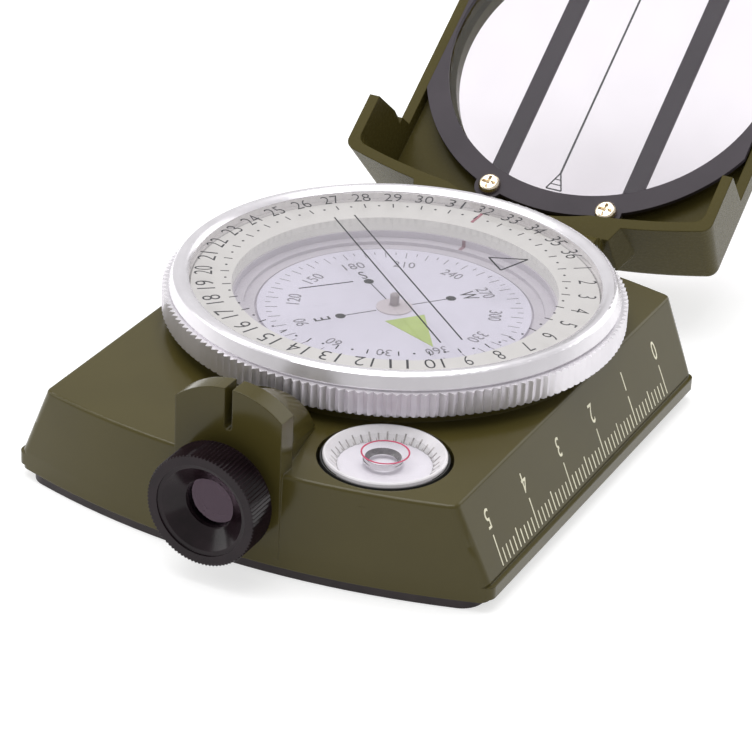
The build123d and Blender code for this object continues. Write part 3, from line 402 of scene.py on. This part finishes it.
floor_material, floor_tree, floor_shader, _ = new_material("studio_floor")
FLOOR_DARK = (0.49, 0.49, 0.49)
FLOOR_LIGHT = (0.52, 0.52, 0.52)
floor_tone = ramp(floor_tree, noise(floor_tree, 6), 0.3, 0.7, FLOOR_DARK, FLOOR_LIGHT)
floor_tree.links.new(floor_tone, floor_shader.inputs["Base Color"])
floor_shader.inputs["Roughness"].default_value = 0.9
floor_shader.inputs["Specular IOR Level"].default_value = 0.1
floor_shader.inputs["Emission Color"].default_value = (1, 1, 1, 1)
floor_shader.inputs["Emission Strength"].default_value = 0.62
FLOOR_HALF = 3.0
FLOOR_DROP = 0.05 * MM
floor_mesh = bpy.data.meshes.new("floor")
floor_corners = [(-1, -1), (1, -1), (1, 1), (-1, 1)]
floor_places = [(x * FLOOR_HALF, y * FLOOR_HALF, -FLOOR_DROP) for x, y in floor_corners]
floor_mesh.from_pydata(floor_places, [], [(0, 1, 2, 3)])
floor_mesh.materials.append(floor_material)
floor = bpy.data.objects.new("floor", floor_mesh)
bpy.context.scene.collection.objects.link(floor)

# ---------------------------------------------------------------- materials of the CAD nodes
OLIVE = (0.061, 0.050, 0.0135)
paint = surface("olive_paint", OLIVE, vary=0.03, grain=120, rough=(0.15, 0.20), bump=0.0012,
                bump_grain=1800, rounding=0.2, specular=0.24)
lid_paint = surface("lid_paint", OLIVE, vary=0.03, grain=120, rough=(0.24, 0.30), bump=0.0005,
                    bump_grain=1800, rounding=0.2, specular=0.05)
bezel_metal = turned_metal("bezel_metal", (0.78, 0.755, 0.79), (0.20, 0.25), pitch=0.11, depth=0.0002,
                           metal=0.62)
inner_metal = turned_metal("inner_metal", (0.62, 0.61, 0.63), (0.25, 0.35), pitch=0.15, depth=0.002)
plate_black = surface("plate_black", (0.024, 0.017, 0.018), vary=0.2, rough=(0.4, 0.5), bump=0.01,
                      bump_grain=3000, rounding=0.15, specular=0.3)
black_plastic = surface("black_plastic", (0.011, 0.006, 0.008), vary=0.25, rough=(0.14, 0.2), bump=0.002,
                        bump_grain=2500, rounding=0.08, specular=0.22)
screw_metal = surface("screw_metal", (0.83, 0.72, 0.56), vary=0.08, rough=(0.16, 0.3), bump=0.004,
                      metal=1.0, rounding=0.1)
steel = surface("steel", (0.55, 0.55, 0.56), vary=0.08, rough=(0.22, 0.36), bump=0.003, metal=1.0,
                stretch=(0.1, 1, 1))
# cup_white, dish_white, dial_cream, gasket_cream and card_white carry painted light: their glow brightens
# faces and walls that lie in shade
cup_white = surface("cup_white", (0.45, 0.42, 0.46), vary=0.02, rough=(0.3, 0.4), bump=0.002, painted_glow=0.14)
dish_white = surface("dish_white", (0.66, 0.63, 0.69), vary=0.02, rough=(0.3, 0.4), bump=0.002, painted_glow=0.1)
# most of the fixed ring's pale tone is painted light, which keeps its shaded inner wall as pale as its top
dial_cream = surface("dial_cream", (0.19, 0.183, 0.18), vary=0.02, rough=(0.45, 0.6), bump=0.004, painted_glow=0.45)
gasket_cream = surface("gasket_cream", (0.42, 0.40, 0.405), vary=0.03, rough=(0.5, 0.6), bump=0.004,
                       painted_glow=0.26)
card_white = surface("card_white", (0.62, 0.59, 0.68), vary=0.015, rough=(0.4, 0.5), bump=0.002, painted_glow=0.1)
print_dark = surface("print_dark", (0.02, 0.02, 0.025), vary=0.3, rough=(0.4, 0.55), bump=0.002)
print_pale = surface("print_pale", (0.21, 0.195, 0.23), vary=0.2, rough=(0.4, 0.55), bump=0.002)
print_cream = surface("print_cream", (0.72, 0.69, 0.52), vary=0.08, rough=(0.4, 0.5), bump=0.004)
red_mark = surface("red_mark", (0.46, 0.035, 0.10), vary=0.1, rough=(0.35, 0.5), bump=0.003)
index_red = surface("index_red", (0.36, 0.12, 0.16), vary=0.1, rough=(0.35, 0.5), bump=0.003)
lubber_red = surface("lubber_red", (0.34, 0.21, 0.25), vary=0.1, rough=(0.4, 0.55), bump=0.002)
green_mark = surface("green_mark", (0.46, 0.57, 0.18), vary=0.05, rough=(0.5, 0.6), bump=0.004)
magnet = surface("magnet", (0.08, 0.08, 0.085), vary=0.2, rough=(0.4, 0.6), bump=0.01)
pivot_metal = surface("pivot_metal", (0.40, 0.34, 0.34), vary=0.1, rough=(0.3, 0.4), bump=0.002)
rubber = surface("rubber", (0.03, 0.03, 0.03), vary=0.2, rough=(0.6, 0.75), bump=0.01)
ring_dark = surface("ring_dark", (0.050, 0.042, 0.050), vary=0.06, grain=150, rough=(0.34, 0.42),
                    bump=0.0008, bump_grain=1500, rounding=0.1, specular=0.12)
crystal_clear = clear("crystal_clear", (0.985, 0.985, 0.985))
window_clear = clear("window_clear", (0.84, 0.82, 0.845), ior=1.25)
lens_clear = clear("lens_clear", (0.98, 0.98, 0.985), ior=1.3)
vial_clear = clear("vial_clear", (0.985, 0.985, 0.985), ior=1.3)
fluid_clear = clear("fluid_clear", (0.99, 0.99, 0.985), ior=1.05)
eye_glass = clear("eye_glass", (0.55, 0.48, 0.58), ior=1.6, coating=(1.0, 0.74, 0.92))


COLUMN_FADE = 0.15 * MM  # how far the hub's colour takes to change
COLUMN_DARK = (0.27, 0.23, 0.25)
COLUMN_LIGHT = (0.36, 0.31, 0.33)


def hub_plastic(name, column_radius):
    """A pale moulding round the vertical axis, greyer inside the column's radius."""
    # painted light: a faint glow brightens the pale moulding
    material = surface(name, (0.56, 0.50, 0.53), vary=0.03, grain=900, rough=(0.25, 0.35), bump=0.001,
                       painted_glow=0.08)
    tree = material.node_tree
    shader = next(node for node in tree.nodes if node.type == "BSDF_PRINCIPLED")
    pale = shader.inputs["Base Color"].links[0].from_socket
    place = tree.nodes.new("ShaderNodeTexCoord")
    flat = tree.nodes.new("ShaderNodeMapping")
    flat.inputs["Scale"].default_value = (1, 1, 0)
    radius = tree.nodes.new("ShaderNodeVectorMath")
    radius.operation = "LENGTH"
    beyond = tree.nodes.new("ShaderNodeMapRange")
    beyond.inputs["From Min"].default_value = column_radius
    beyond.inputs["From Max"].default_value = column_radius + COLUMN_FADE
    mixed = tree.nodes.new("ShaderNodeMix")
    mixed.data_type = "RGBA"
    streaky = noise(tree, 2500, stretch=(1, 1, 0.1))
    column = ramp(tree, streaky, *MOTTLE, COLUMN_DARK, COLUMN_LIGHT)
    tree.links.new(place.outputs["Object"], flat.inputs["Vector"])
    tree.links.new(flat.outputs["Vector"], radius.inputs[0])
    tree.links.new(radius.outputs["Value"], beyond.inputs["Value"])
    tree.links.new(beyond.outputs["Result"], mixed.inputs["Factor"])
    tree.links.new(column, mixed.inputs["A"])
    tree.links.new(pale, mixed.inputs["B"])
    tree.links.new(mixed.outputs["Result"], shader.inputs["Base Color"])
    return material


hub_pale = hub_plastic("hub_pale", 0.65 * MM)

NODE_MATERIALS = {
    paint: ["base_housing"],
    lid_paint: ["lid_shell"],
    bezel_metal: ["bezel_ring"],
    inner_metal: ["crystal_retainer"],
    plate_black: ["base_plate"],
    black_plastic: ["eyepiece_sleeve", "lens_cell", "lens_retainer", "eyepiece_ring"],
    screw_metal: ["base_plate_screws", "window_ring_screws"],
    steel: ["hinge_pin", "prism_clip", "bezel_snap_ring"],
    cup_white: ["dial_cup"],
    dish_white: ["level_dish"],
    gasket_cream: ["crystal_gasket"],
    dial_cream: ["fixed_ring"],
    card_white: ["compass_card"],
    print_dark: ["sight_line"],
    red_mark: ["level_target"],
    index_red: ["index_mark"],
    green_mark: ["north_marker"],
    magnet: ["card_magnets"],
    pivot_metal: ["pivot_post"],
    rubber: ["level_seat"],
    ring_dark: ["window_ring", "window_bars"],
    crystal_clear: ["crystal"],
    window_clear: ["lid_window", "sight_prism"],
    lens_clear: ["capsule_lens"],
    vial_clear: ["level_vial"],
    fluid_clear: ["level_fluid"],
    hub_pale: ["card_hub"],
    eye_glass: ["eye_lens"],
}
for material, names in NODE_MATERIALS.items():
    for name in names:
        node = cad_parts[name]
        node.data.materials.clear()
        node.data.materials.append(material)

# ---------------------------------------------------------------- print on the crystal
NUMERALS = 36  # one every ten degrees, clockwise from the zero
NUMERAL_R = 24.14 * MM
NUMERAL_H = 2.3 * MM
NUMERAL_W = 1.25 * MM
NUMERAL_THINNER = 0.012  # how much the font's strokes are thinned
DASH_INNER_R = 20.9 * MM
DASH_OUTER_R = 22.0 * MM
DASH_W = 0.16 * MM
DOT_RING_R = 21.4 * MM
DOT_R = 0.17 * MM
numerals = Print()
scale = Print()
for count in range(1, NUMERALS + 1):
    angle = ZERO - math.radians(10 * count)
    numeral_place = radial_matrix(NUMERAL_R, angle, CRYSTAL_TOP)
    numerals.text(str(count), NUMERAL_H, NUMERAL_W, numeral_place, thinner=NUMERAL_THINNER)
    at_axis = radial_matrix(0, angle, CRYSTAL_TOP)
    scale.bar((0, DASH_INNER_R), (0, DASH_OUTER_R), DASH_W, at_axis)
    between = radial_matrix(0, angle + math.radians(5), CRYSTAL_TOP)
    scale.dot((0, DOT_RING_R), DOT_R, between, sides=12)
numerals.finish("crystal_numerals", "bezel", print_dark)
scale.finish("crystal_scale", "bezel", print_dark)

# two parallel lines, an outlined triangle at zero, and a short line opposite
LINE_HALF = 18.8 * MM
LINE_OFFSET = 1.39 * MM
LINE_W = 0.2 * MM
TRIANGLE_HALF_W = 1.96 * MM
TRIANGLE_FOOT = 13.45 * MM
TRIANGLE_TIP = 18.0 * MM
TRIANGLE_STROKE = 0.24 * MM
TAIL_START = -5.7 * MM
TAIL_END = -12.9 * MM
marks = Print()
crystal_face = radial_matrix(0, ZERO, CRYSTAL_TOP)
for offset in (-LINE_OFFSET, LINE_OFFSET):
    marks.bar((-LINE_HALF, offset), (LINE_HALF, offset), LINE_W, crystal_face)
triangle = [(-TRIANGLE_HALF_W, TRIANGLE_FOOT), (TRIANGLE_HALF_W, TRIANGLE_FOOT), (0, TRIANGLE_TIP)]
for start, end in zip(triangle, triangle[1:] + triangle[:1]):
    marks.bar(start, end, TRIANGLE_STROKE, crystal_face)
marks.bar((0, TAIL_START), (0, TAIL_END), LINE_W, crystal_face)
marks.finish("crystal_marks", "bezel", print_dark)

# ---------------------------------------------------------------- print on the card
CARD_NUMBER_STEP = 30
CARD_NUMBER_R = 12.76 * MM
CARD_NUMBER_H = 1.7 * MM
CARD_NUMBER_W = 1.0 * MM
CARD_TICK_STEP = 5
LONG_TICK_INNER_R = 14.75 * MM
SHORT_TICK_INNER_R = 15.6 * MM
CARD_TICK_OUTER_R = 16.3 * MM
CARD_TICK_W = 0.11 * MM
LETTER_H = 2.1 * MM
LETTER_W = 1.5 * MM
SPOT_R = 0.66 * MM
RAY_INNER_R = 2.5 * MM
RAY_W = 0.14 * MM
card_numbers = Print()
card_ticks = Print()
card_marks = Print()
for degrees in range(CARD_NUMBER_STEP, 361, CARD_NUMBER_STEP):
    number_place = radial_matrix(CARD_NUMBER_R, NORTH - math.radians(degrees), CARD_TOP)
    card_numbers.text(str(degrees), CARD_NUMBER_H, CARD_NUMBER_W, number_place)
for degrees in range(0, 360, CARD_TICK_STEP):
    tick_inner = LONG_TICK_INNER_R if degrees % 10 == 0 else SHORT_TICK_INNER_R
    tick_place = radial_matrix(0, NORTH - math.radians(degrees), CARD_TOP)
    card_ticks.bar((0, tick_inner), (0, CARD_TICK_OUTER_R), CARD_TICK_W, tick_place)

# three letters, each with the radius it stands at and the radius of the spot that ends its ray
LETTERS = (("E", 90, 9.9 * MM, 7.4 * MM), ("S", 180, 9.9 * MM, 8.0 * MM), ("W", 270, 10.4 * MM, 7.9 * MM))
for letter, degrees, letter_radius, spot_radius in LETTERS:
    angle = NORTH - math.radians(degrees)
    on_ray = radial_matrix(0, angle, CARD_TOP)
    card_marks.text(letter, LETTER_H, LETTER_W, radial_matrix(letter_radius, angle, CARD_TOP))
    card_marks.dot((0, spot_radius), SPOT_R, on_ray)
    card_marks.bar((0, RAY_INNER_R), (0, spot_radius), RAY_W, on_ray)
card_numbers.finish("card_numbers", "card", print_pale)
card_ticks.finish("card_ticks", "card", print_pale)
card_marks.finish("card_marks", "card", print_dark)

# lubber mark on the cup's upper step, up its wall and along its ledge
LEDGE_INNER_R = 19.1 * MM
LEDGE_OUTER_R = 20.3 * MM
LEDGE_Z = CUP_TOP - 0.9 * MM
LUBBER_W = 0.5 * MM
lubber = Print()
lubber_ledge = plane_matrix((0, 0, LEDGE_Z), (1, 0, 0), (0, 1, 0))
lubber.bar((0, LEDGE_INNER_R), (0, LEDGE_OUTER_R - INK), LUBBER_W, lubber_ledge)
lubber_wall = plane_matrix((0, LEDGE_OUTER_R - INK, LEDGE_Z), (1, 0, 0), (0, 0, 1))
lubber.bar((0, INK), (0, CUP_TOP - LEDGE_Z), LUBBER_W, lubber_wall)
lubber.finish("lubber_mark", "base", lubber_red)

# ---------------------------------------------------------------- ruler on the side
SLOPE_TOP = Vector((27.3, 0, 13.2)) * MM
SLOPE_FOOT = Vector((31.4, 0, 3.6)) * MM
RULER_LENGTH = 50  # in millimetres, with a tick for each
RULER_ZERO_Y = 16.84 * MM
DIGIT_DROP = 4.1 * MM  # each drop is how far down the slope a thing stands
DIGIT_H = 2.5 * MM
DIGIT_W = 1.6 * MM
CENTIMETRE_DROP = 6.15 * MM
HALF_DROP = 7.65 * MM
MILLIMETRE_DROP = 8.25 * MM
TICK_END_DROP = 10.1 * MM
RULER_TICK_W = 0.2 * MM
downhill = (SLOPE_FOOT - SLOPE_TOP).normalized()
ruler_scale = Print()
ruler_digits = Print()
for step in range(RULER_LENGTH + 1):
    y = RULER_ZERO_Y - step * MM
    place = plane_matrix(SLOPE_TOP + Vector((0, y, 0)), (0, -1, 0), downhill)
    if step % 10 == 0:
        tick_start = CENTIMETRE_DROP
        digit_place = place @ Matrix.Translation((0, DIGIT_DROP, 0))
        ruler_digits.text(str(step // 10), DIGIT_H, DIGIT_W, digit_place)
    elif step % 5 == 0:
        tick_start = HALF_DROP
    else:
        tick_start = MILLIMETRE_DROP
    ruler_scale.bar((0, tick_start), (0, TICK_END_DROP), RULER_TICK_W, place)
ruler_scale.finish("ruler_scale", "base", print_cream)
ruler_digits.finish("ruler_digits", "base", print_cream)

# ---------------------------------------------------------------- bubble level
# painted light: the glow brightens the cone's shaded skirt and underside
flute_white = surface("flute_white", (0.60, 0.58, 0.60), vary=0.05, rough=(0.12, 0.2), bump=0.001,
                      painted_glow=0.15)
# painted shade for the flutes, used by the streaks on the cone below
flute_shade_grey = surface("flute_shade_grey", (0.37, 0.345, 0.345), vary=0.35, grain=1500, rough=(0.2, 0.3),
                      bump=0.001)
FLUTES = 36
FLUTE_DEPTH = 0.1 * MM
RIM = LEVEL_HIGH.z
DISH_R = (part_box("level_dish")[1].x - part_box("level_dish")[0].x) / 2
VIAL_SKIN = 0.12 * MM  # how much of the vial covers the cone's rim
RIM_ROUND = 0.25 * MM
RIM_SKIRT = 0.6 * MM
CONE_FOOT = Vector((DISH_R - 0.02 * MM, DISH_TOP))
CONE_RIM = Vector((LEVEL_R - 0.45 * MM, RIM - VIAL_SKIN))
flute_profile = [
    tuple(CONE_FOOT),
    tuple(CONE_RIM),
    (LEVEL_R - RIM_ROUND, RIM - VIAL_SKIN),
    (LEVEL_R - VIAL_SKIN, RIM - RIM_ROUND),
    (LEVEL_R - VIAL_SKIN, RIM - RIM_SKIRT),
    (DISH_R + 0.5 * MM, DISH_TOP - 0.1 * MM),
]


def flute(corner, step):
    """Out at every other step of the cone's foot. The rim stays round, so the flutes fade towards it."""
    if corner == 0:
        return FLUTE_DEPTH / 2 * (1 + math.cos(math.pi * step))
    return 0.0


flutes = lathe("level_flutes", flute_profile, LEVEL, 2 * FLUTES, ripple=flute)
mesh_piece("level_flutes", flutes, "base", flute_white)

# painted shade: dark streaks up the lower part of the cone stand for the shade in the flutes, where they are
# deepest, long and short by turns
STREAK_START = 0.05 * MM
STREAK_W = 0.42 * MM
LONG_STREAK = 0.62  # as a share of the cone's slope
SHORT_STREAK = 0.52
streaks = Print()
cone_line = CONE_RIM - CONE_FOOT
for count in range(FLUTES):
    angle = 2 * math.pi * (count + 0.5) / FLUTES
    outwards = Vector((math.cos(angle), math.sin(angle), 0))
    foot = Vector((LEVEL.x, LEVEL.y, CONE_FOOT.y)) + outwards * CONE_FOOT.x
    climb = outwards * cone_line.x + Vector((0, 0, cone_line.y))
    sideways = Vector((math.sin(angle), -math.cos(angle), 0))
    reach = cone_line.length * (LONG_STREAK if count % 2 else SHORT_STREAK)
    streaks.bar((0, STREAK_START), (0, reach), STREAK_W, plane_matrix(foot, -sideways, climb))
streaks.finish("level_flute_shade", "base", flute_shade_grey)

# the bubble: painted shade in a dark ring on the inside of its edge and painted light in a pale ring on the
# outside, both shaped as its meniscus
bubble_painted_shade = surface("bubble_painted_shade", (0.17, 0.16, 0.17), vary=0.25, grain=900, rough=(0.2, 0.3), bump=0.001)
bubble_painted_light = surface("bubble_painted_light", (0.62, 0.59, 0.64), vary=0.03, rough=(0.2, 0.3), bump=0.001, painted_glow=0.08)
BUBBLE = Vector((LEVEL.x - 0.15 * MM, LEVEL.y - 0.2 * MM, 0))
BUBBLE_R = 2.1 * MM
BUBBLE_FLARE = 0.28 * MM
BUBBLE_H = 0.6 * MM
BUBBLE_STEPS = 64
SKIN_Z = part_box("level_fluid")[1].z  # the top of the liquid
BUBBLE_BOTTOM = SKIN_Z - BUBBLE_H
dark_profile = [
    (BUBBLE_R - 0.45 * MM, BUBBLE_BOTTOM),
    (BUBBLE_R, SKIN_Z - 0.02 * MM),
    (BUBBLE_R + 0.06 * MM, SKIN_Z - 0.02 * MM),
    (BUBBLE_R - 0.1 * MM, BUBBLE_BOTTOM),
]
pale_profile = [
    (BUBBLE_R - 0.08 * MM, BUBBLE_BOTTOM),
    (BUBBLE_R + 0.07 * MM, SKIN_Z - 0.04 * MM),
    (BUBBLE_R + 0.11 * MM, SKIN_Z - 0.04 * MM),
    (BUBBLE_R + BUBBLE_FLARE, BUBBLE_BOTTOM),
]
bubble = lathe("level_bubble", dark_profile, BUBBLE, BUBBLE_STEPS)
mesh_piece("level_bubble", bubble, "base", bubble_painted_shade)
halo = lathe("bubble_halo", pale_profile, BUBBLE, BUBBLE_STEPS)
mesh_piece("bubble_halo", halo, "base", bubble_painted_light)

# painted shadow: two dark crescents round the bubble's outside, each from one angle to another
CRESCENT_R = BUBBLE_R + BUBBLE_FLARE + 0.02 * MM
CRESCENT_W = 0.17 * MM
CRESCENT_TIP = 0.05  # the thickness at the tips, as a share of the width
CRESCENT_STEPS = 12
CRESCENT_SPANS = ((200, 256), (330, 372))
crescents = Print()
crescent_place = Matrix.Translation((BUBBLE.x, BUBBLE.y, BUBBLE_BOTTOM + 0.3 * MM))
for first, last in CRESCENT_SPANS:
    outer = []
    inner = []
    for step in range(CRESCENT_STEPS + 1):
        share = step / CRESCENT_STEPS
        angle = math.radians(first + (last - first) * share)
        inner_r = CRESCENT_R - CRESCENT_W * max(CRESCENT_TIP, math.sin(math.pi * share))
        outer.append((CRESCENT_R * math.cos(angle), CRESCENT_R * math.sin(angle)))
        inner.append((inner_r * math.cos(angle), inner_r * math.sin(angle)))
    crescents.outline(outer + inner[::-1], crescent_place)
crescents.finish("bubble_shadow_crescents", "base", bubble_painted_shade)

# ---------------------------------------------------------------- pointer on the lid's window
WINDOW_FACE = -10.14 * MM  # the window's inner face, square to the lid and measured from the hinge
POINTER_HALF_W = 1.15 * MM
POINTER_FOOT = 13.4 * MM
POINTER_TIP = 16.2 * MM
POINTER_STROKE = 0.22 * MM
HATCH_STROKE = 0.16 * MM
HATCH_INSET = 0.1 * MM
HATCH_SHARES = (0.3, 0.6)  # how far up the triangle each line across it stands
pointer = Print()
window_face = lid_matrix(WINDOW_FACE)
pointer_corners = [(-POINTER_HALF_W, POINTER_FOOT), (POINTER_HALF_W, POINTER_FOOT), (0, POINTER_TIP)]
for start, end in zip(pointer_corners, pointer_corners[1:] + pointer_corners[:1]):
    pointer.bar(start, end, POINTER_STROKE, window_face)
for share in HATCH_SHARES:
    half = POINTER_HALF_W * (1 - share) - HATCH_INSET
    y = POINTER_FOOT + (POINTER_TIP - POINTER_FOOT) * share
    pointer.bar((-half, y), (half, y), HATCH_STROKE, window_face)
pointer.finish("window_pointer", "lid", print_dark)
